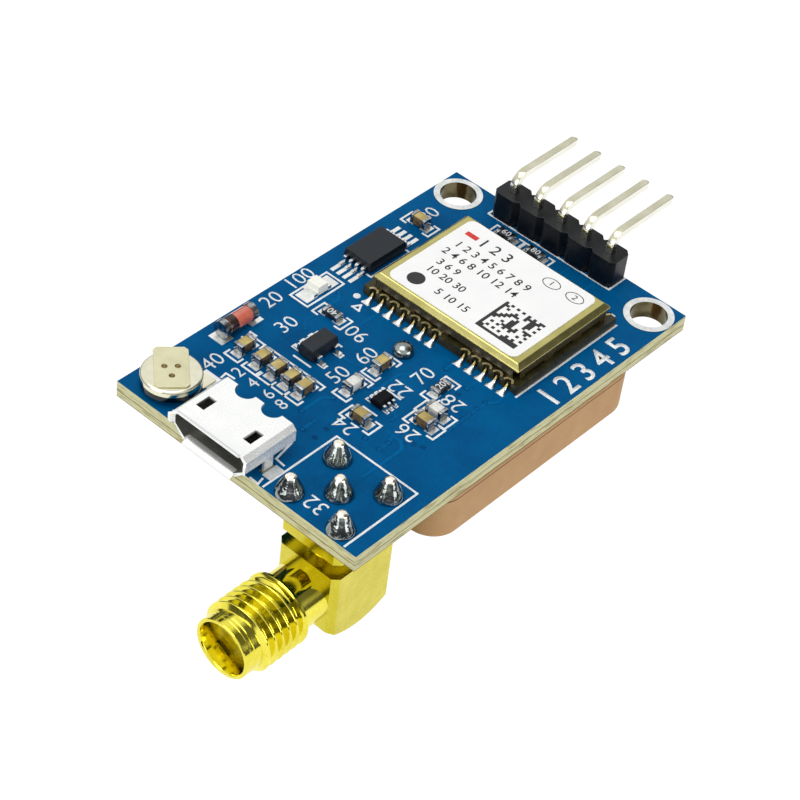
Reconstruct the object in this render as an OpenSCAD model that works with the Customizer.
// Satellite positioning module: a small board with a shielded receiver, a back-up
// cell, a micro USB socket, a five-pin header, a coaxial socket and a patch antenna.
// The origin is midway between the two mounting holes, on the board's underside.

/* [Board] */
// width across the short side
board_w = 24.5; // [24:0.1:27]
// length along the long side
board_l = 39; // [38.6:0.1:42]
// thickness of the laminate
board_t = 1.5; // [1.2:0.1:2]
// height of the tinned pads over the laminate
pad_h = 0.05; // [0.04:0.01:0.1]
// clear width round a pin in its drilled hole
drill_clear = 0.15; // [0.1:0.05:0.2]

/* [Mounting holes] */
// distance of the holes from the side edges
hole_side = 2.1; // [2.1:0.05:2.4]
// distance of the holes from the header edge
hole_edge = 2.2; // [2.15:0.05:2.6]
// clear radius of a plated hole
hole_r = 1.55; // [1.3:0.05:1.7]
// outer radius of the tinned ring
hole_ring_r = 2.08; // [1.95:0.01:2.12]
// wall of the plating in the hole
hole_wall = 0.1; // [0.06:0.02:0.16]

/* [Antenna] */
// distance of the square ceramic tile inside the board's side edges
antenna_inset = 0.2; // [0:0.05:1]
// height of the ceramic tile
antenna_h = 4.1; // [3:0.1:6]
// corner radius of the tile
antenna_corner = 2.4; // [1:0.1:3]
// tile centre, measured from the board centre along its length
antenna_y = 2.1; // [1.5:0.1:2.6]
// distance of the adhesive inside the tile all round
tape_inset = 0.75; // [0.5:0.05:1.5]
// thickness of the adhesive
tape_t = 0.4; // [0.2:0.05:0.8]
// thickness of the silver coats
silver_t = 0.06; // [0.04:0.01:0.1]
// distance of the ground coat inside the tile all round
ground_inset = 0.45; // [0.4:0.05:1]
// distance of the radiating patch inside the tile all round
patch_inset = 2.25; // [1.5:0.05:3.5]
// cut on two corners of the patch
patch_cut = 2; // [1:0.1:3]
// offset of the feed pin from the tile centre
feed_offset = 3; // [2:0.1:3.4]
// radius of the feed pin
feed_r = 0.4; // [0.3:0.05:0.5]
// radius of the feed pin's head
feed_head_r = 1.15; // [0.9:0.05:1.4]
// height of the feed pin's head
feed_head_h = 0.35; // [0.2:0.05:0.6]
// clear radius round the feed pin in the ground coat and adhesive
feed_clear_r = 1.6; // [1.2:0.1:2]
// radius of the solder bump on the feed pin
feed_bump_r = 0.85; // [0.7:0.05:1]

/* [Coaxial socket] */
// socket centre from the right edge
coax_side = 5.1; // [4.9:0.05:5.4]
// socket centre from the near edge
coax_edge = 3.7; // [3.5:0.05:3.9]
// half distance between the four legs
coax_leg = 2.54; // [2.4:0.02:2.6]
// width of the block
coax_w = 6; // [5.9:0.05:6.2]
// reach of the block in front of the leg centre
coax_fore = 2.9; // [2.8:0.05:3.1]
// reach of the block behind the leg centre
coax_aft = 3.3; // [3.1:0.05:3.4]
// depth of the barrel axis below the board
coax_drop = 6.6; // [6.4:0.1:7]
// height of the block over the barrel axis
coax_rise = 3.1; // [3.1:0.1:3.6]
// radius of the rounded foot of the block
coax_foot_r = 6; // [5.5:0.1:8]
// depth of the block's foot below the barrel axis
coax_foot = 3.55; // [3.4:0.05:3.7]
// radius of the boss between block and board
coax_boss_r = 1.9; // [1.8:0.05:2]
// clear height between boss and board
coax_boss_gap = 0.5; // [0.3:0.1:1]
// cut along the two front edges of the block
coax_cut = 0.5; // [0.3:0.1:0.8]
// thickness of the socket's base plate against the board
coax_plate_t = 2; // [1.6:0.1:2.4]
// radius of a leg inside the board
coax_tail_r = 0.46; // [0.4:0.02:0.46]
// height of the solder cones over the board
cone_h = 1.75; // [1.2:0.05:2]
// foot radius of the solder cones
cone_r = 1.05; // [1:0.05:1.25]
// top radius of the solder cones
cone_tip_r = 0.55; // [0.5:0.01:0.7]
// barrel radius over the thread
barrel_r = 3.05; // [2.95:0.05:3.15]
// length of the threaded stretch
thread_l = 5.9; // [5:0.1:8]
// length of the smooth neck behind the thread
neck_l = 2.6; // [1.5:0.05:4]
// radius of the smooth neck
neck_r = 2.5; // [2.4:0.05:2.7]
// step from the thread's crests down to the smooth front
barrel_cut = 0.5; // [0.2:0.05:0.6]
// length of the smooth front
barrel_lead = 0.9; // [0.4:0.1:1.2]
// radius of the mouth
mouth_r = 2.2; // [2.15:0.05:2.3]
// depth of the mouth down to the insulator
mouth_depth = 3; // [1.8:0.1:4]
// radius of the insulator
insulator_r = 2.05; // [1.9:0.05:2.1]
// radius of the centre contact
contact_r = 0.64; // [0.5:0.02:0.7]
// radius of the socket in the centre contact
contact_bore_r = 0.47; // [0.4:0.01:0.48]
// distance the contact stands out of the insulator
contact_out = 1.4; // [0.5:0.1:1.7]
// radius of the upright insulator sleeve
sleeve_r = 1.3; // [1:0.1:1.5]

/* [USB socket] */
// socket centre from the board centre, across the board
usb_x = -1.8; // [-2.2:0.05:-1.6]
// distance the shell stands out over the near edge
usb_out = 0.75; // [0.6:0.05:1]
// length of the shell
usb_l = 5.2; // [4.8:0.1:5.4]
// width of the shell
usb_w = 7.5; // [7.3:0.1:7.6]
// height of the shell
usb_h = 2.5; // [2.4:0.05:2.8]
// width of the shell's narrow underside
usb_foot_w = 5.4; // [5.2:0.1:5.8]
// thickness of the shell's sheet
usb_sheet = 0.25; // [0.2:0.01:0.3]
// distance between the shell and the board
usb_gap = 0.1; // [0.08:0.02:0.2]
// drop of the sloped lower lip in front of the board edge
usb_lip = 0.4; // [0.3:0.05:0.6]
// width of that lip
usb_lip_w = 5; // [4.6:0.1:5.2]
// length of that lip along the shell
usb_lip_l = 0.75; // [0.6:0.05:0.9]
// length of the flared edge round the mouth
usb_flare = 0.45; // [0.3:0.05:0.5]
// width of the slots in the roof
usb_slot_w = 0.8; // [0.6:0.05:0.9]
// length of the slots in the roof
usb_slot_l = 1.4; // [1:0.1:1.5]
// distance between the slot centres
usb_slot_pitch = 4.8; // [4.4:0.1:5]
// distance of the rear notches from the middle
usb_notch_x = 1.35; // [1.2:0.05:1.5]
// radius of the rear notches
usb_notch_r = 0.9; // [0.6:0.05:1]
// width of the tongue
tongue_w = 3.9; // [3.6:0.1:4.2]
// height of the tongue
tongue_h = 0.6; // [0.5:0.05:0.7]
// contact pitch
usb_pitch = 0.65; // [0.6:0.01:0.68]
// contact width
usb_contact_w = 0.28; // [0.2:0.02:0.34]

/* [Header] */
// pin pitch
pin_pitch = 2.54; // [2.5:0.01:2.54]
// header centre from the board centre, across the board
header_x = -0.33; // [-0.5:0.01:0]
// header centre from the far edge
header_edge = 1.05; // [1:0.05:1.3]
// width of the plastic strip
strip_w = 2.4; // [2.2:0.05:2.5]
// height of the plastic strip
strip_h = 2.6; // [2.3:0.05:2.8]
// cut on the corners of each cell
strip_cut = 0.4; // [0.2:0.05:0.5]
// side of a square pin
pin_side = 0.64; // [0.6:0.01:0.66]
// height of the bent pin's axis over the board
pin_rise = 4.05; // [3.9:0.05:5]
// reach of the pin from its upright axis
pin_reach = 7.9; // [6:0.1:9]
// bend radius on the pin's axis
pin_bend = 1.05; // [0.8:0.05:1.2]
// length of the pin's tail under the board
pin_tail = 1.1; // [0.9:0.1:1.5]
// foot radius of the solder under a pin
pin_solder_r = 0.95; // [0.85:0.05:1.1]
// depth of the solder under a pin
pin_solder_h = 0.85; // [0.6:0.05:0.9]
// cut on the pin's tip
pin_tip = 0.2; // [0.1:0.02:0.26]

/* [Back-up cell] */
// cell centre from the left edge
cell_side = 3.05; // [2.9:0.05:3.15]
// cell centre from the near edge
cell_edge = 2.65; // [2.5:0.05:2.8]
// outer radius
cell_r = 2.4; // [2.3:0.05:2.45]
// height of the cell
cell_h = 1.3; // [1.2:0.05:1.5]
// sheet thickness of can and cap
cell_sheet = 0.16; // [0.12:0.02:0.2]
// thickness of the gasket
cell_gasket = 0.2; // [0.16:0.02:0.24]
// thickness of the tabs
tab_t = 0.12; // [0.1:0.01:0.15]
// width of the top tab
tab_w = 2.7; // [2.4:0.1:2.8]
// reach of the top tab on the near side of the cell centre
tab_near = 1.85; // [1.6:0.05:2]
// direction of the top tab
tab_turn = 138; // [132:1:142]
// width of the tab's foot on the board
tab_foot_w = 1.2; // [1:0.05:1.3]
// width of the bottom tab
bottom_tab_w = 1.2; // [1:0.05:1.3]
// cut on the corners of the top tab
tab_cut = 0.3; // [0.2:0.05:0.6]

/* [Receiver] */
// receiver centre from the board centre, across the board
receiver_x = 1.13; // [0.9:0.01:1.3]
// receiver centre from the board centre, along the board
receiver_y = 8.05; // [7.9:0.05:8.2]
// receiver board length
receiver_w = 16; // [15.8:0.1:16.2]
// receiver board depth
receiver_d = 12.2; // [12:0.1:12.4]
// receiver board thickness
receiver_t = 0.8; // [0.7:0.05:1]
// receiver pin pitch
castle_pitch = 1.1; // [1.06:0.01:1.1]
// distance of the end pins from the ends
castle_end = 1; // [0.9:0.05:1.1]
// radius of the half-round notch at each pin
castle_r = 0.28; // [0.2:0.02:0.32]
// width of the solder at each pin
castle_w = 0.72; // [0.66:0.02:0.8]
// length of the pad in front of each pin
castle_reach = 0.95; // [0.7:0.05:1]
// distance of the shield from the ends of the receiver board
shield_end = 0.45; // [0.4:0.05:1]
// distance of the shield from the pin sides of the receiver board
shield_side = 0.35; // [0.3:0.05:0.8]
// shield height
shield_h = 1.45; // [1.3:0.05:1.7]
// shield sheet thickness
shield_sheet = 0.2; // [0.15:0.01:0.25]
// width of the folded shoulder
shield_fold = 0.4; // [0.3:0.05:0.5]
// width of the open slit at each corner
shield_slit = 0.5; // [0.3:0.05:0.6]
// clear height between the shield's feet
shield_gap = 0.28; // [0.2:0.02:0.4]
// width of a shield foot
shield_foot = 1.1; // [0.8:0.1:1.4]
// distance of the label from the ends of the shield
label_end = 0.95; // [0.6:0.05:1.5]
// distance of the label from the long sides of the shield
label_side = 0.55; // [0.45:0.05:1.5]
// side and height of the radio chip under the shield
radio_size = [5, 0.8];
// length, width and height of the oscillator under the shield
oscillator_size = [2.5, 2, 0.8];
// length, width and height of the filter under the shield
filter_size = [1.4, 1.1, 0.5];
// label corner radius
label_corner = 0.7; // [0.3:0.1:1.5]
// label thickness
label_t = 0.08; // [0.06:0.01:0.12]

/* [Chips] */
// regulator centre across and along the board
regulator_at = [-4.5, -5.75];
// regulator body width, length and height
regulator_size = [1.6, 2.9, 1.1];
// amplifier centre across and along the board
amplifier_at = [2.75, -6.35];
// amplifier body width, length and height
amplifier_size = [1.1, 1.6, 0.6];
// memory centre from the left edge, and from the board centre along the board
memory_at = [2.8, 6.17];
// memory body width, length and height
memory_size = [2.9, 4.4, 0.9];
// gap between chip bodies and pads
chip_lift = 0.1; // [0.06:0.02:0.14]
// sheet thickness of the leads
lead_t = 0.14; // [0.1:0.01:0.16]
// slope of the chip sides, as width lost from mid height to top
chip_slope = 0.1; // [0.06:0.01:0.14]

/* [Small parts] */
// capacitor length, width and height
capacitor_size = [1.6, 0.85, 0.85];
// resistor length, width and height
resistor_size = [1.6, 0.8, 0.45];
// inductor length, width and height
inductor_size = [1.6, 0.85, 0.8];
// length of the metal end caps
end_cap_l = 0.32; // [0.2:0.02:0.4]
// thickness of the metal end caps over the body
end_cap_t = 0.03; // [0.02:0.01:0.05]
// distance a pad shows beyond the end cap
pad_show = 0.35; // [0.2:0.05:0.4]
// diode centre from the left edge, and from the board centre along the board
diode_at = [1.67, -8.53];
// diode length
diode_l = 3.5; // [3.3:0.1:3.7]
// diode end cap radius
diode_r = 0.75; // [0.7:0.01:0.8]
// diode glass radius
diode_glass_r = 0.68; // [0.6:0.01:0.69]
// length of a diode end cap
diode_cap_l = 0.55; // [0.4:0.05:0.6]
// radius of the studs inside the glass
diode_stud_r = 0.42; // [0.3:0.02:0.5]
// light centre from the left edge, and from the board centre along the board
light_at = [2.68, -0.5];
// light length, width and height
light_size = [2, 1.25, 0.8];
// length of the light's metal ends
light_end = 0.4; // [0.3:0.05:0.5]

/* [Hidden] */
$fn = 48;
left = -board_w / 2;
hole_pitch = board_w - 2 * hole_side;
hole_y = board_l / 2 - hole_edge;
antenna_side = board_w - 2 * antenna_inset;
tape_side = antenna_side - 2 * tape_inset;
ground_side = antenna_side - 2 * ground_inset;
patch_side = antenna_side - 2 * patch_inset;
antenna_top = -board_t - tape_t - silver_t;
antenna_low = antenna_top - antenna_h;
feed_y = antenna_y - feed_offset;
coax_x = board_w / 2 - coax_side;
coax_y = coax_edge - board_l / 2;
coax_z = -board_t - coax_drop;
coax_top = coax_z + coax_rise;
coax_plate_low = -board_t - coax_plate_t;
coax_front = coax_y - coax_fore;
neck_end = coax_front - neck_l;
barrel_end = neck_end - thread_l;
insulator_face = barrel_end + mouth_depth;
leg_signs = [[-1, -1], [-1, 1], [1, -1], [1, 1]];
usb_front = -board_l / 2 - usb_out;
usb_back = usb_front + usb_l;
usb_top = usb_gap + usb_h;
usb_slot_y = usb_front + 2.05;
usb_shoulder = usb_gap + usb_h * 0.42;
tongue_low = usb_gap + usb_h / 2 - tongue_h / 2 + 0.15;
tongue_front = usb_front + 0.9;
tail_back = usb_back + 0.6;
usb_core_back = usb_back - usb_notch_r - 0.05;
usb_core_front = usb_core_back - 1.2;
header_y = board_l / 2 - header_edge;
pin_drill_r = pin_side * sqrt(2) / 2 + drill_clear;
strip_cells = 5;
cell_x = left + cell_side;
cell_y = cell_edge - board_l / 2;
cell_low = pad_h + tab_t;
cell_top = cell_low + cell_h;
cell_cap_r = cell_r - cell_sheet - cell_gasket;
tab_drop = cell_r + 0.1;
bottom_tab_at = [1.35, 2.85];
castle_side = [for (i = [0 : 6]) i * castle_pitch];
castle_rest = [for (i = [0 : 4]) receiver_w - 2 * castle_end - i * castle_pitch];
castle_x = [for (p = concat(castle_side, castle_rest)) p - receiver_w / 2 + castle_end];
shield_w = receiver_w - 2 * shield_end;
shield_d = receiver_d - 2 * shield_side;
label_w = shield_w - 2 * label_end;
label_d = shield_d - 2 * label_side;
receiver_top = pad_h + receiver_t;
shield_top = receiver_top + shield_h;
chip_low = pad_h + chip_lift;
memory_x = left + memory_at[0];
diode_x = left + diode_at[0];
light_x = left + light_at[0];
row_y = -9.8;
row_x = [-8.39, -6.51, -4.9, -3.46, -2.06];
row_places = [for (x = row_x) [x, row_y, 90]];
lone_places = [[0.05, -3.45, 90], [2.93, -8.95, 0], [6.5, -5.75, 0], [left + 2.65, 11.85, 0]];
capacitor_places = concat(row_places, lone_places);
resistor_places = [[4.8, -1.95, 90], [-6.55, -1.95, 0], [-3.8, 15.95, 0], [-0.67, 15.95, 0]];
inductor_places = [[0.15, -6.8, 90], [6.35, -4.25, 0]];
memory_pitch = 0.65;
regulator_pitch = 0.92;
amplifier_pitch = 0.5;

// Shared frame: everything below is drawn from the board's centre, component face at zero.
module at_board() {
  translate([0, -hole_y, board_t]) children();
}

// Plate with round corners, standing on its place.
module rounded_plate(w, d, h, r) {
  linear_extrude(height = h) {
    square([w - 2 * r, d], center = true);
    square([w, d - 2 * r], center = true);
    for (s = leg_signs) translate([s[0] * (w / 2 - r), s[1] * (d / 2 - r)]) circle(r);
  }
}

// Flat shape in the Y and Z directions, pulled across X about its middle.
module across(w) {
  rotate([90, 0, 90]) translate([0, 0, -w / 2]) linear_extrude(height = w) children();
}

// Moulded chip body that narrows above and below its middle.
module chip_body(size, low) {
  mid = low + size[2] * 0.45;
  top = low + size[2];
  s = chip_slope;
  x = size[0] / 2;
  y = size[1] / 2;
  intersection() {
    rotate([90, 0, 0]) linear_extrude(height = size[1] + 1, center = true)
      polygon([[-x + s / 2, low], [x - s / 2, low], [x, mid], [x - s, top], [-x + s, top], [-x, mid]]);
    across(size[0] + 1)
      polygon([[-y + s / 2, low], [y - s / 2, low], [y, mid], [y - s, top], [-y + s, top], [-y, mid]]);
  }
}

// Gull-wing lead leaving a chip side at reach zero, drawn along +X.
module gull_lead(run, width, low, mid) {
  t = lead_t;
  rotate([90, 0, 0]) linear_extrude(height = width, center = true)
    polygon([
      [0, mid - t / 2], [run * 0.35 - t, mid - t / 2], [run * 0.35, low], [run, low],
      [run, low + t], [run * 0.35 + t, low + t], [run * 0.35 + t * 0.6, mid + t / 2], [0, mid + t / 2]
    ]);
}

// Body of a two-ended chip part, on its pads.
module chip_part(place, size) {
  translate([place[0], place[1], pad_h]) rotate(place[2])
    translate([-size[0] / 2 + end_cap_l, -size[1] / 2, end_cap_t])
      cube([size[0] - 2 * end_cap_l, size[1], size[2]]);
}

// The two metal ends of a chip part.
module chip_ends(place, size) {
  translate([place[0], place[1], pad_h]) rotate(place[2]) for (s = [-1, 1])
    translate([s * (size[0] - end_cap_l) / 2, 0, size[2] / 2 + end_cap_t])
      cube([end_cap_l, size[1] + 2 * end_cap_t, size[2] + 2 * end_cap_t], center = true);
}

// The two pads under a chip part.
module chip_pads(place, size) {
  pad_l = end_cap_l + pad_show + 0.1;
  translate([place[0], place[1], 0]) rotate(place[2]) for (s = [-1, 1])
    translate([s * (size[0] / 2 + pad_show - pad_l / 2), 0, pad_h / 2])
      cube([pad_l, size[1] + 0.1, pad_h], center = true);
}

// Blue laminate with its drilled holes and the slots for the USB legs.
module circuit_board() {
  color([0.02, 0.3, 0.55]) at_board() difference() {
    translate([-board_w / 2, -board_l / 2, -board_t]) cube([board_w, board_l, board_t]);
    for (s = [-1, 1]) translate([s * hole_pitch / 2, hole_y, -board_t - 1])
      cylinder(r = hole_r + hole_wall, h = board_t + 2);
    for (i = [0 : strip_cells - 1]) translate([header_pin_x(i), header_y, -board_t - 1])
      cylinder(r = pin_drill_r, h = board_t + 2);
    for (s = concat(leg_signs, [[0, 0]]))
      translate([coax_x + s[0] * coax_leg, coax_y + s[1] * coax_leg, -board_t - 1])
        cylinder(r = coax_tail_r + drill_clear, h = board_t + 2);
    translate([0, feed_y, -board_t - 1]) cylinder(r = feed_r + drill_clear, h = board_t + 2);
    for (s = [-1, 1]) translate([usb_x + s * usb_leg_x(), usb_leg_y(), -board_t / 2])
      cube([usb_sheet + 2 * drill_clear, usb_leg_l() + 2 * drill_clear, board_t + 2], center = true);
  }
}
function header_pin_x(i) = header_x + (i - (strip_cells - 1) / 2) * pin_pitch;
function usb_leg_x() = usb_w / 2 - usb_sheet / 2;
function usb_leg_y() = usb_front + 2.45;
function usb_leg_l() = 0.9;

// Tinned ring and plated wall of one mounting hole.
module hole_ring(side) {
  low = -board_t - pad_h;
  wall_r = hole_r + hole_wall;
  translate([side * hole_pitch / 2, hole_y, 0]) rotate_extrude()
    polygon([
      [hole_r, low], [hole_ring_r, low], [hole_ring_r, -board_t], [wall_r, -board_t],
      [wall_r, 0], [hole_ring_r, 0], [hole_ring_r, pad_h], [hole_r, pad_h]
    ]);
}
module hole_ring_left() {
  color([0.85, 0.86, 0.84]) at_board() hole_ring(-1);
}
module hole_ring_right() {
  color([0.85, 0.86, 0.84]) at_board() hole_ring(1);
}

// Tinned pads of the parts on the component side.
module board_pads() {
  color([0.85, 0.86, 0.84]) at_board() {
    for (p = capacitor_places) chip_pads(p, capacitor_size);
    for (p = resistor_places) chip_pads(p, resistor_size);
    for (p = inductor_places) chip_pads(p, inductor_size);
    for (s = [-1, 1]) {
      translate([diode_x, diode_at[1] + s * (diode_l / 2 - 0.1), pad_h / 2])
        cube([1.5, 1.3, pad_h], center = true);
      translate([light_x, light_at[1] + s * light_size[0] * 0.6, pad_h / 2])
        cube([1.35, 1.25, pad_h], center = true);
      for (i = [-1.5 : 1 : 1.5])
        translate([memory_x + i * memory_pitch, memory_at[1] + s * (memory_size[1] / 2 + 1.15), pad_h / 2])
          cube([0.36, 1.5, pad_h], center = true);
      for (i = [-1 : 1]) if (s < 0 || i != 0)
        translate([regulator_at[0] + s * 1.35, regulator_at[1] + i * regulator_pitch, pad_h / 2])
          cube([0.8, 0.5, pad_h], center = true);
      for (i = [-1 : 1])
        translate([amplifier_at[0] + s * 0.85, amplifier_at[1] + i * amplifier_pitch, pad_h / 2])
          cube([0.6, 0.3, pad_h], center = true);
    }
    translate([cell_x + bottom_tab_at[0], cell_y + bottom_tab_at[1] - 0.35, pad_h / 2])
      cube([1.7, 1.5, pad_h], center = true);
    translate([cell_x, cell_y, 0]) rotate(tab_turn) translate([tab_drop + tab_t + 0.35, 0, pad_h / 2])
      cube([0.75, tab_foot_w + 0.1, pad_h], center = true);
    for (s = [-1, 1]) translate([usb_x + s * (usb_leg_x() + 0.62), usb_leg_y(), pad_h / 2])
      cube([0.8, 1.5, pad_h], center = true);
    for (i = [-2 : 2]) translate([usb_x + i * usb_pitch, tail_back - 0.1, pad_h / 2])
      cube([0.4, 0.9, pad_h], center = true);
  }
}

// Adhesive square between tile and board.
module antenna_tape() {
  color([0.9, 0.88, 0.8]) at_board() difference() {
    translate([0, antenna_y, -board_t - tape_t]) rounded_plate(tape_side, tape_side, tape_t, antenna_corner);
    translate([0, feed_y, -board_t - 1]) cylinder(r = feed_clear_r, h = 2);
  }
}
// Silver coat on the tile's upper face.
module antenna_ground() {
  color([0.8, 0.8, 0.78]) at_board() difference() {
    translate([0, antenna_y, antenna_top]) rounded_plate(ground_side, ground_side, silver_t, antenna_corner);
    translate([0, feed_y, antenna_top - 1]) cylinder(r = feed_clear_r, h = 2);
  }
}

// Fired ceramic tile.
module antenna_ceramic() {
  color([0.78, 0.6, 0.42]) at_board() difference() {
    translate([0, antenna_y, antenna_low]) rounded_plate(antenna_side, antenna_side, antenna_h, antenna_corner);
    translate([0, feed_y, antenna_low - 1]) cylinder(r = feed_r + drill_clear, h = antenna_h + 2);
  }
}

// Radiating silver patch under the tile, with two cut corners that turn its polarisation.
module antenna_patch() {
  p = patch_side / 2;
  c = patch_cut;
  color([0.8, 0.8, 0.78]) at_board() difference() {
    translate([0, antenna_y, antenna_low - silver_t]) linear_extrude(height = silver_t)
      polygon([[-p, -p + c], [-p + c, -p], [p, -p], [p, p - c], [p - c, p], [-p, p]]);
    translate([0, feed_y, antenna_low - 1]) cylinder(r = feed_r, h = 2);
  }
}

// Feed pin: a nail whose head lies on the patch.
module antenna_feed_pin() {
  low = antenna_low - silver_t;
  color([0.85, 0.82, 0.72]) at_board() translate([0, feed_y, 0]) rotate_extrude()
    polygon([
      [0, low - feed_head_h], [feed_head_r * 0.8, low - feed_head_h], [feed_head_r, low - feed_head_h * 0.5],
      [feed_head_r, low], [feed_r, low], [feed_r, 0.4], [0, 0.4]
    ]);
}

// Solder bump over the feed pin's end.
module antenna_bump() {
  color([0.88, 0.88, 0.86]) at_board() translate([0, feed_y, 0]) difference() {
    union() {
      cylinder(r = feed_bump_r, h = 0.25);
      intersection() {
        translate([0, 0, 0.25]) scale([1, 1, 0.75]) sphere(r = feed_bump_r);
        translate([-2, -2, 0.25]) cube([4, 4, 2]);
      }
    }
    translate([0, 0, -1]) cylinder(r = feed_r, h = 1.4);
  }
}

// Outline of the coaxial block and its base plate seen from above.
module coax_plan() {
  half = coax_w / 2;
  polygon([
    [-half, -coax_fore + coax_cut], [-half + coax_cut, -coax_fore], [half - coax_cut, -coax_fore],
    [half, -coax_fore + coax_cut], [half, coax_aft], [-half, coax_aft]
  ]);
}

// Gold-plated block hung from its base plate, with the barrel's cross bore and the upright bore.
module coax_block() {
  foot_y = (coax_aft - coax_fore) / 2;
  foot_centre = coax_z - coax_foot + coax_foot_r;
  color([0.85, 0.72, 0.25]) at_board() translate([coax_x, coax_y, 0]) difference() {
    union() {
      intersection() {
        across(coax_w) intersection() {
          translate([-coax_fore, coax_z - coax_foot]) square([coax_fore + coax_aft, coax_foot + coax_rise]);
          translate([foot_y, foot_centre]) circle(coax_foot_r, $fn = 96);
        }
        translate([0, 0, -20]) linear_extrude(height = 30) coax_plan();
      }
      translate([0, 0, coax_top - 0.5]) cylinder(r = coax_boss_r, h = coax_plate_low - coax_top + 1);
      translate([0, 0, coax_plate_low]) linear_extrude(height = coax_plate_t) coax_plan();
      for (s = leg_signs) translate([s[0] * coax_leg, s[1] * coax_leg, -board_t - 0.5])
        cylinder(r = coax_tail_r, h = board_t + 0.5 + cone_h * 0.6);
    }
    translate([0, 0, coax_z]) rotate([90, 0, 0]) cylinder(r = insulator_r, h = coax_fore + 1);
    translate([0, 0, coax_z]) sphere(r = insulator_r);
    translate([0, 0, coax_z]) cylinder(r = sleeve_r, h = 20);
  }
}

// Threaded barrel with its smooth neck, drawn at the thread's outer size.
module coax_barrel() {
  color([0.88, 0.75, 0.28]) at_board() translate([coax_x, 0, coax_z]) rotate([-90, 0, 0]) rotate_extrude()
    polygon([
      [mouth_r, barrel_end], [barrel_r - barrel_cut, barrel_end], [barrel_r - barrel_cut, barrel_end + barrel_lead],
      [barrel_r, barrel_end + barrel_lead + barrel_cut / 2],
      [barrel_r, neck_end - 0.3], [neck_r, neck_end], [neck_r, coax_front],
      [insulator_r, coax_front], [insulator_r, insulator_face], [mouth_r, insulator_face]
    ]);
}

// White insulator: a rod along the barrel that meets an upright sleeve at the block's middle.
module coax_insulator() {
  color([0.93, 0.92, 0.88]) at_board() translate([coax_x, 0, 0]) difference() {
    union() {
      translate([0, coax_y, coax_z]) rotate([90, 0, 0]) cylinder(r = insulator_r, h = coax_y - insulator_face);
      translate([0, coax_y, coax_z]) sphere(r = insulator_r);
      translate([0, coax_y, coax_z]) cylinder(r = sleeve_r, h = -board_t - coax_z - coax_boss_gap);
    }
    translate([0, coax_y, coax_z]) rotate([90, 0, 0]) cylinder(r = contact_r, h = 20);
    translate([0, coax_y, coax_z]) sphere(r = contact_r);
    translate([0, coax_y, coax_z]) cylinder(r = coax_tail_r, h = 20);
  }
}

// Centre contact: a split socket at the mouth, turned up to the board at the block's middle.
module coax_contact() {
  reach = coax_y - insulator_face + contact_out;
  color([0.88, 0.75, 0.28]) at_board() translate([coax_x, coax_y, coax_z]) difference() {
    union() {
      rotate([90, 0, 0]) cylinder(r = contact_r, h = reach);
      sphere(r = contact_r);
      cylinder(r = coax_tail_r, h = -coax_z + cone_h * 0.6);
    }
    rotate([90, 0, 0]) translate([0, 0, reach - 3]) cylinder(r = contact_bore_r, h = 4);
    rotate([90, 0, 0]) translate([0, 0, reach - 0.6]) cube([2, 0.16, 3], center = true);
  }
}

// Solder cones on the component side of the coaxial socket.
module coax_solder() {
  color([0.82, 0.82, 0.8]) at_board() for (s = concat(leg_signs, [[0, 0]]))
    translate([coax_x + s[0] * coax_leg, coax_y + s[1] * coax_leg, 0]) difference() {
      rotate_extrude() polygon([
        [0, 0], [cone_r, 0], [cone_r * 0.99, cone_h * 0.14], [cone_r * 0.86, cone_h * 0.42],
        [cone_tip_r * 1.1, cone_h * 0.82], [cone_tip_r * 0.8, cone_h * 0.95], [0, cone_h]
      ]);
      translate([0, 0, -1]) cylinder(r = coax_tail_r, h = 1 + cone_h * 0.6);
    }
}

// Outline of the USB shell seen from the mouth, in or out by the sheet thickness.
module usb_outline(inset) {
  w = usb_w / 2 - inset;
  f = usb_foot_w / 2 - inset * 0.7;
  c = 0.4;
  low = usb_gap + inset;
  top = usb_top - inset;
  polygon([
    [-f, low], [f, low], [w, usb_shoulder], [w, top - c], [w - c, top], [-w + c, top], [-w, top - c],
    [-w, usb_shoulder]
  ]);
}

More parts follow.
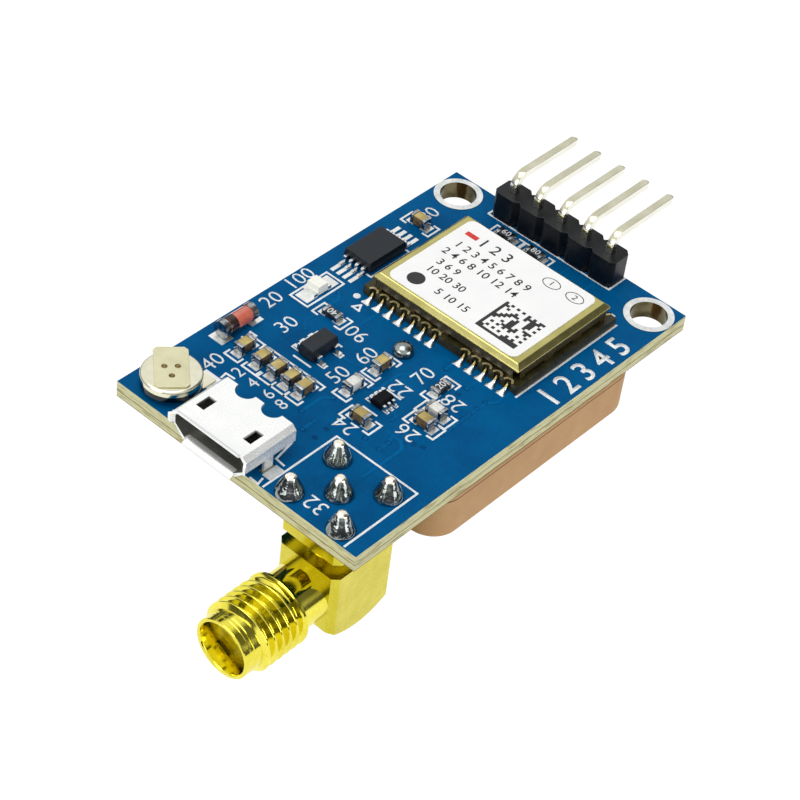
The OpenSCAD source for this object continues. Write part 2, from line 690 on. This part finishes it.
// Folded shell: flared mouth, two roof slots, notched rear edge, two legs and a lip over the board edge.
module usb_shell() {
  s = usb_sheet;
  flare_drop = usb_flare * 0.7;
  lip_back = usb_front + 0.5;
  color([0.82, 0.82, 0.8]) at_board() translate([usb_x, 0, 0]) {
    difference() {
      translate([0, usb_back, 0]) rotate([90, 0, 0]) linear_extrude(height = usb_l) usb_outline(0);
      translate([0, usb_back + 1, 0]) rotate([90, 0, 0]) linear_extrude(height = usb_l + 2) usb_outline(s);
      translate([-usb_lip_w / 2, usb_front - 1, usb_gap - 1]) cube([usb_lip_w, lip_back - usb_front + 1, 1 + s * 1.5]);
      for (k = [-1, 1]) {
        translate([k * usb_slot_pitch / 2, usb_slot_y, usb_top])
          cube([usb_slot_w, usb_slot_l, 1], center = true);
        translate([k * usb_notch_x, usb_back, usb_top - 0.3]) cylinder(r = usb_notch_r, h = 1);
        translate([k * usb_w / 2, usb_back, usb_gap]) cube([2, 1.2, 1.6], center = true);
        translate([0, usb_back, usb_gap]) cube([5 * usb_pitch, 2 * usb_notch_r + 0.2, 3 * s], center = true);
      }
    }
    across(usb_w - 1.2)
      polygon([
        [usb_front, usb_top - s], [usb_front - flare_drop, usb_top - s + usb_flare * 0.5],
        [usb_front - flare_drop, usb_top + usb_flare * 0.5], [usb_front, usb_top]
      ]);
    across(usb_lip_w)
      polygon([
        [lip_back, usb_gap], [lip_back, usb_gap + s], [lip_back - usb_lip_l, usb_gap + s - usb_lip],
        [lip_back - usb_lip_l, usb_gap - usb_lip]
      ]);
    for (k = [-1, 1]) {
      usb_side_flap(k, flare_drop);
      translate([k * usb_leg_x(), usb_leg_y(), usb_shoulder - 0.6 - board_t / 2])
        cube([s, usb_leg_l(), board_t + 1.2], center = true);
    }
  }
}
// Side flap of the flared mouth.
module usb_side_flap(k, flare_drop) {
  w = usb_w / 2;
  s = usb_sheet;
  translate([0, 0, usb_shoulder + 0.1]) linear_extrude(height = usb_top - usb_shoulder - 0.6)
    polygon([
      [k * (w - s), usb_front], [k * w, usb_front],
      [k * (w + usb_flare * 0.5), usb_front - flare_drop], [k * (w + usb_flare * 0.5 - s), usb_front - flare_drop]
    ]);
}

// Black plastic core that fills the shell's rear and carries the tongue.
module usb_tongue() {
  color([0.12, 0.12, 0.13]) at_board() translate([usb_x, 0, 0]) difference() {
    union() {
      intersection() {
        translate([0, usb_core_back, 0]) rotate([90, 0, 0]) linear_extrude(height = usb_core_back - usb_core_front)
          usb_outline(usb_sheet);
        translate([-5, usb_core_front, -1]) cube([10, 3, 5]);
      }
      translate([-tongue_w / 2, tongue_front, tongue_low]) cube([tongue_w, usb_core_back - tongue_front - 0.1, tongue_h]);
    }
    for (i = [-2 : 2]) usb_contact(i);
  }
}

// One USB contact: blade under the tongue, riser through the core, tail on the board behind.
module usb_contact(i) {
  t = 0.16;
  drop = usb_core_back + 0.02;
  translate([i * usb_pitch, 0, 0]) across(usb_contact_w)
    polygon([
      [tongue_front + 0.3, tongue_low], [drop, tongue_low], [drop, pad_h], [tail_back, pad_h],
      [tail_back, pad_h + t], [drop + t, pad_h + t], [drop + t, tongue_low + t], [tongue_front + 0.3, tongue_low + t]
    ]);
}
module usb_contacts() {
  color([0.85, 0.72, 0.25]) at_board() translate([usb_x, 0, 0]) for (i = [-2 : 2]) usb_contact(i);
}

// Black strip of five cells with cut corners, one square hole in each.
module header_strip() {
  p = pin_pitch / 2;
  w = strip_w / 2;
  c = strip_cut;
  color([0.06, 0.06, 0.07]) at_board() difference() {
    for (i = [0 : strip_cells - 1]) translate([header_pin_x(i), header_y, 0]) linear_extrude(height = strip_h)
      polygon([[-p, -w + c], [-p + c, -w], [p - c, -w], [p, -w + c], [p, w - c], [p - c, w], [-p + c, w], [-p, w - c]]);
    for (i = [0 : strip_cells - 1]) translate([header_pin_x(i), header_y, strip_h / 2])
      cube([pin_side, pin_side, strip_h + 2], center = true);
  }
}

// Square pin bent once, with cut tips.
module header_pin(i) {
  h = pin_side / 2;
  low = -board_t - pin_tail;
  end = pin_reach;
  translate([header_pin_x(i), header_y, 0]) intersection() {
    across(pin_side) {
      polygon([[-h + pin_tip, low], [h - pin_tip, low], [h, low + pin_tip * 2], [h, pin_rise - pin_bend],
        [-h, pin_rise - pin_bend], [-h, low + pin_tip * 2]]);
      translate([pin_bend, pin_rise - pin_bend]) intersection() {
        difference() {
          circle(pin_bend + h);
          circle(pin_bend - h);
        }
        translate([-5, 0]) square([5, 5]);
      }
      polygon([[pin_bend, pin_rise - h], [end - pin_tip * 2, pin_rise - h], [end, pin_rise - h + pin_tip],
        [end, pin_rise + h - pin_tip], [end - pin_tip * 2, pin_rise + h], [pin_bend, pin_rise + h]]);
    }
    translate([0, 0, low]) linear_extrude(height = pin_rise - low + 1)
      polygon([[-h, -1], [h, -1], [h, end - pin_tip * 2], [h - pin_tip, end], [-h + pin_tip, end],
        [-h, end - pin_tip * 2]]);
  }
}
module header_pin_1() {
  color([0.86, 0.83, 0.68]) at_board() header_pin(0);
}
module header_pin_2() {
  color([0.86, 0.83, 0.68]) at_board() header_pin(1);
}
module header_pin_3() {
  color([0.86, 0.83, 0.68]) at_board() header_pin(2);
}
module header_pin_4() {
  color([0.86, 0.83, 0.68]) at_board() header_pin(3);
}
module header_pin_5() {
  color([0.86, 0.83, 0.68]) at_board() header_pin(4);
}

// Solder cones under the board at the header pins.
module header_solder() {
  r = pin_solder_r;
  h = pin_solder_h;
  color([0.82, 0.82, 0.8]) at_board() for (i = [0 : strip_cells - 1])
    translate([header_pin_x(i), header_y, -board_t]) difference() {
      rotate_extrude() polygon([[0, 0], [r, 0], [r * 0.95, -h * 0.14], [r * 0.63, -h * 0.59], [r * 0.5, -h], [0, -h]]);
      cube([pin_side, pin_side, 4 * h], center = true);
    }
}

// Can of the cell, upside down: flat top, round shoulder, wall turned in at the foot.
module cell_can() {
  r = cell_r;
  s = cell_sheet;
  b = 0.22;
  foot = cell_low + cell_h * 0.24;
  color([0.83, 0.81, 0.72]) at_board() translate([cell_x, cell_y, 0]) rotate_extrude() difference() {
    union() {
      translate([0, foot]) square([r, cell_top - foot - b]);
      square_top(r - b, cell_top, b);
      translate([r - b, cell_top - b]) circle(b);
    }
    translate([-0.01, foot - 1]) square([r - s + 0.01, cell_top - foot + 1 - s]);
    translate([-5, foot - 1]) square([5, 5]);
  }
}
// Flat of the can's top inside its round shoulder.
module square_top(r, top, b) {
  translate([0, top - b]) square([r, b]);
}

// Smaller cap that closes the cell towards the board.
module cell_cap() {
  s = cell_sheet;
  r = cell_cap_r;
  color([0.8, 0.8, 0.78]) at_board() translate([cell_x, cell_y, cell_low]) rotate_extrude()
    polygon([[0, 0], [r - 0.15, 0], [r, 0.15], [r, cell_h * 0.5], [r - s, cell_h * 0.5], [r - s, s], [0, s]]);
}

// Seal between can and cap.
module cell_gasket_ring() {
  low = cell_low + cell_h * 0.2;
  top = cell_low + cell_h * 0.5;
  color([0.1, 0.1, 0.1]) at_board() translate([cell_x, cell_y, 0]) rotate_extrude()
    translate([cell_cap_r, low]) square([cell_gasket, top - low]);
}

// Active pellet between cap and can.
module cell_pellet() {
  s = cell_sheet;
  color([0.2, 0.2, 0.2]) at_board() translate([cell_x, cell_y, cell_low + s])
    cylinder(r = cell_cap_r - s, h = cell_h - 2 * s);
}

// Tab welded across the can's top, turned down past the cell to a foot on the board.
module cell_top_tab() {
  w = tab_w / 2;
  f = tab_foot_w / 2;
  c = tab_cut;
  color([0.83, 0.81, 0.72]) at_board() translate([cell_x, cell_y, 0]) rotate(tab_turn) {
    translate([0, 0, cell_top]) linear_extrude(height = tab_t)
      polygon([
        [-tab_near, -w + c], [-tab_near + c, -w], [tab_drop + tab_t - c, -w], [tab_drop + tab_t, -w + c],
        [tab_drop + tab_t, w - c], [tab_drop + tab_t - c, w], [-tab_near + c, w], [-tab_near, w - c]
      ]);
    translate([tab_drop, -f, pad_h]) cube([tab_t, tab_foot_w, cell_top - pad_h + tab_t / 2]);
    translate([tab_drop, -f, pad_h]) cube([0.7 + tab_t, tab_foot_w, tab_t]);
  }
}

// Tab under the cap that comes out beside the USB socket.
module cell_bottom_tab() {
  w = bottom_tab_w;
  color([0.83, 0.81, 0.72]) at_board() translate([cell_x, cell_y, pad_h]) linear_extrude(height = tab_t) {
    translate([bottom_tab_at[0] - w / 2, bottom_tab_at[1] - 1.25 * w]) square([w, 1.25 * w]);
    rotate(atan2(bottom_tab_at[1] - w, bottom_tab_at[0])) translate([-w, -w / 2]) square([2.5 * w, w]);
  }
}

// Receiver's own board with a half-round notch at each pin.
module receiver_board() {
  color([0.1, 0.2, 0.12]) at_board() translate([receiver_x, receiver_y, pad_h]) difference() {
    translate([-receiver_w / 2, -receiver_d / 2, 0]) cube([receiver_w, receiver_d, receiver_t]);
    for (x = castle_x) for (s = [-1, 1]) translate([x, s * receiver_d / 2, -1]) cylinder(r = castle_r, h = 3, $fn = 24);
  }
}

// Closed outline of the shield with folded shoulders, smaller by the inset all round.
module shield_form(inset, low, top) {
  x = shield_w / 2 - inset;
  y = shield_d / 2 - inset;
  f = shield_fold;
  intersection() {
    rotate([90, 0, 0]) linear_extrude(height = shield_d + 2, center = true)
      polygon([[-x, low], [x, low], [x, top - f], [x - f, top], [-x + f, top], [-x, top - f]]);
    across(shield_w + 2) polygon([[-y, low], [y, low], [y, top - f], [y - f, top], [-y + f, top], [-y, top - f]]);
  }
}

// Folded shield over the radio parts: open corner slits, feet along the lower edge.
module receiver_shield() {
  s = shield_sheet;
  span_x = (shield_w - 5 * shield_foot) / 4;
  span_y = (shield_d - 4 * shield_foot) / 3;
  color([0.72, 0.64, 0.36]) at_board() translate([receiver_x, receiver_y, 0]) difference() {
    shield_form(0, receiver_top, shield_top);
    shield_form(s, receiver_top - 1, shield_top - s);
    for (k = leg_signs) translate([k[0] * shield_w / 2, k[1] * shield_d / 2, receiver_top - 1])
      linear_extrude(height = shield_h + 1 - shield_fold - s) square(2 * shield_slit, center = true);
    for (i = [0 : 3]) translate([-shield_w / 2 + shield_foot + i * (span_x + shield_foot), -shield_d, receiver_top - 1])
      cube([span_x, 2 * shield_d, 1 + shield_gap]);
    for (i = [0 : 2]) translate([-shield_w, -shield_d / 2 + shield_foot + i * (span_y + shield_foot), receiver_top - 1])
      cube([2 * shield_w, span_y, 1 + shield_gap]);
  }
}

// White label on the shield.
module receiver_label() {
  color([0.95, 0.95, 0.94]) at_board() translate([receiver_x, receiver_y, shield_top])
    rounded_plate(label_w, label_d, label_t, label_corner);
}

// Radio chip under the shield.
module receiver_chip() {
  color([0.08, 0.08, 0.09]) at_board() translate([receiver_x + 1.2, receiver_y, receiver_top])
    translate([-radio_size[0] / 2, -radio_size[0] / 2, 0]) cube([radio_size[0], radio_size[0], radio_size[1]]);
}

// Oscillator can under the shield.
module receiver_oscillator() {
  color([0.75, 0.72, 0.6]) at_board() translate([receiver_x - 4.2, receiver_y + 1.2, receiver_top])
    rounded_plate(oscillator_size[0], oscillator_size[1], oscillator_size[2], oscillator_size[0] / 10);
}

// Radio filter under the shield.
module receiver_filter() {
  color([0.7, 0.7, 0.72]) at_board() translate([receiver_x - 4.2, receiver_y - 2, receiver_top])
    translate([-filter_size[0] / 2, -filter_size[1] / 2, 0]) cube(filter_size);
}

// Solder and pads at the receiver's pins, one solid at each.
module receiver_solder() {
  reach = castle_reach;
  top = pad_h + receiver_t * 0.85;
  color([0.88, 0.88, 0.86]) at_board() translate([receiver_x, receiver_y, 0])
    for (x = castle_x) for (s = [0, 180]) rotate(s) translate([(s == 0 ? 1 : -1) * x, -receiver_d / 2, 0]) {
      translate([-castle_w / 2, -reach, 0]) cube([castle_w, reach + 0.4, pad_h]);
      across(castle_w - 0.1)
        polygon([[-reach * 0.85, pad_h * 0.5], [0, pad_h * 0.5], [0, top], [-0.1, top], [-0.25, top * 0.62],
          [-0.45, top * 0.36], [-reach * 0.7, pad_h * 2.4]]);
      translate([0, 0, pad_h * 0.5]) intersection() {
        cylinder(r = castle_r, h = receiver_t * 0.85 + pad_h * 0.5, $fn = 24);
        translate([-1, 0, -1]) cube([2, 1, 3]);
      }
    }
}

// Five-lead voltage regulator.
module regulator_body() {
  color([0.1, 0.1, 0.11]) at_board() translate([regulator_at[0], regulator_at[1], 0]) chip_body(regulator_size, chip_low);
}
module regulator_leads() {
  mid = chip_low + regulator_size[2] * 0.45;
  color([0.85, 0.85, 0.83]) at_board() translate([regulator_at[0], regulator_at[1], 0]) for (s = [-1, 1]) for (i = [-1 : 1])
    if (s < 0 || i != 0) translate([s * regulator_size[0] / 2, i * regulator_pitch, 0])
      rotate(s < 0 ? 180 : 0) gull_lead(0.75, 0.4, pad_h, mid);
}

// Six-lead signal amplifier.
module amplifier_body() {
  color([0.1, 0.1, 0.11]) at_board() translate([amplifier_at[0], amplifier_at[1], 0]) chip_body(amplifier_size, chip_low);
}
module amplifier_leads() {
  mid = chip_low + amplifier_size[2] * 0.45;
  color([0.85, 0.85, 0.83]) at_board() translate([amplifier_at[0], amplifier_at[1], 0]) for (s = [-1, 1]) for (i = [-1 : 1])
    translate([s * amplifier_size[0] / 2, i * amplifier_pitch, 0])
      rotate(s < 0 ? 180 : 0) gull_lead(0.45, 0.22, pad_h, mid);
}

// Eight-lead memory chip.
module memory_body() {
  color([0.16, 0.16, 0.17]) at_board() translate([memory_x, memory_at[1], 0]) chip_body(memory_size, chip_low);
}
module memory_leads() {
  mid = chip_low + memory_size[2] * 0.45;
  color([0.85, 0.85, 0.83]) at_board() translate([memory_x, memory_at[1], 0]) for (s = [-1, 1]) for (i = [-1.5 : 1 : 1.5])
    translate([i * memory_pitch, s * memory_size[1] / 2, 0])
      rotate(s < 0 ? 270 : 90) gull_lead(0.95, 0.26, pad_h, mid);
}

// Glass sleeve of the diode.
module diode_glass() {
  l = diode_l - 2 * diode_cap_l;
  color([0.75, 0.35, 0.25, 0.6]) at_board() translate([diode_x, diode_at[1], pad_h + diode_r]) rotate([90, 0, 0])
    difference() {
      cylinder(r = diode_glass_r, h = l, center = true);
      cylinder(r = diode_stud_r, h = l + 1, center = true);
    }
}
// Metal end caps of the diode.
module diode_ends() {
  color([0.75, 0.75, 0.74]) at_board() for (s = [-1, 1])
    translate([diode_x, diode_at[1] + s * (diode_l - diode_cap_l) / 2, pad_h + diode_r]) rotate([90, 0, 0])
      cylinder(r = diode_r, h = diode_cap_l, center = true);
}
// Two studs that grip the diode's chip inside the glass.
module diode_studs() {
  l = diode_l / 2 - diode_cap_l;
  gap = 0.1;
  color([0.7, 0.25, 0.15]) at_board() translate([diode_x, diode_at[1], pad_h + diode_r]) {
    for (s = [-1, 1]) translate([0, s * (gap + l) / 2, 0]) rotate([90, 0, 0])
      cylinder(r = diode_stud_r, h = l - gap, center = true);
    cube([0.4, 2 * gap, 0.4], center = true);
  }
}

// Base, lens and metal ends of the light.
module light_base() {
  l = light_size[0] - 2 * light_end;
  color([0.92, 0.9, 0.82]) at_board() translate([light_x, light_at[1], pad_h])
    translate([-light_size[1] / 2, -l / 2, 0]) cube([light_size[1], l, 0.3]);
}
module light_lens() {
  l = light_size[0] - 2 * light_end;
  h = light_size[2];
  color([0.95, 0.94, 0.86]) at_board() translate([light_x, light_at[1], pad_h]) across(light_size[1])
    polygon([[-l / 2, 0.3], [l / 2, 0.3], [l / 2 - 0.1, h], [-l / 2 + 0.1, h]]);
}
module light_ends() {
  color([0.86, 0.82, 0.66]) at_board() for (s = [-1, 1])
    translate([light_x, light_at[1] + s * (light_size[0] - light_end) / 2, pad_h + 0.15])
      cube([light_size[1], light_end, 0.3], center = true);
}

// Two-ended chip parts.
module capacitors() {
  color([0.62, 0.52, 0.32]) at_board() for (p = capacitor_places) chip_part(p, capacitor_size);
}
module resistors() {
  color([0.1, 0.1, 0.11]) at_board() for (p = resistor_places) chip_part(p, resistor_size);
}
module inductors() {
  color([0.95, 0.95, 0.93]) at_board() for (p = inductor_places) chip_part(p, inductor_size);
}
module chip_end_caps() {
  color([0.84, 0.84, 0.82]) at_board() {
    for (p = capacitor_places) chip_ends(p, capacitor_size);
    for (p = resistor_places) chip_ends(p, resistor_size);
    for (p = inductor_places) chip_ends(p, inductor_size);
  }
}

circuit_board();
hole_ring_left();
hole_ring_right();
board_pads();
antenna_tape();
antenna_ground();
antenna_ceramic();
antenna_patch();
antenna_feed_pin();
antenna_bump();
coax_block();
coax_barrel();
coax_insulator();
coax_contact();
coax_solder();
usb_shell();
usb_tongue();
usb_contacts();
header_strip();
header_pin_1();
header_pin_2();
header_pin_3();
header_pin_4();
header_pin_5();
header_solder();
cell_can();
cell_cap();
cell_gasket_ring();
cell_pellet();
cell_top_tab();
cell_bottom_tab();
receiver_board();
receiver_shield();
receiver_label();
receiver_chip();
receiver_oscillator();
receiver_filter();
receiver_solder();
regulator_body();
regulator_leads();
amplifier_body();
amplifier_leads();
memory_body();
memory_leads();
diode_glass();
diode_ends();
diode_studs();
light_base();
light_lens();
light_ends();
capacitors();
resistors();
inductors();
chip_end_caps();
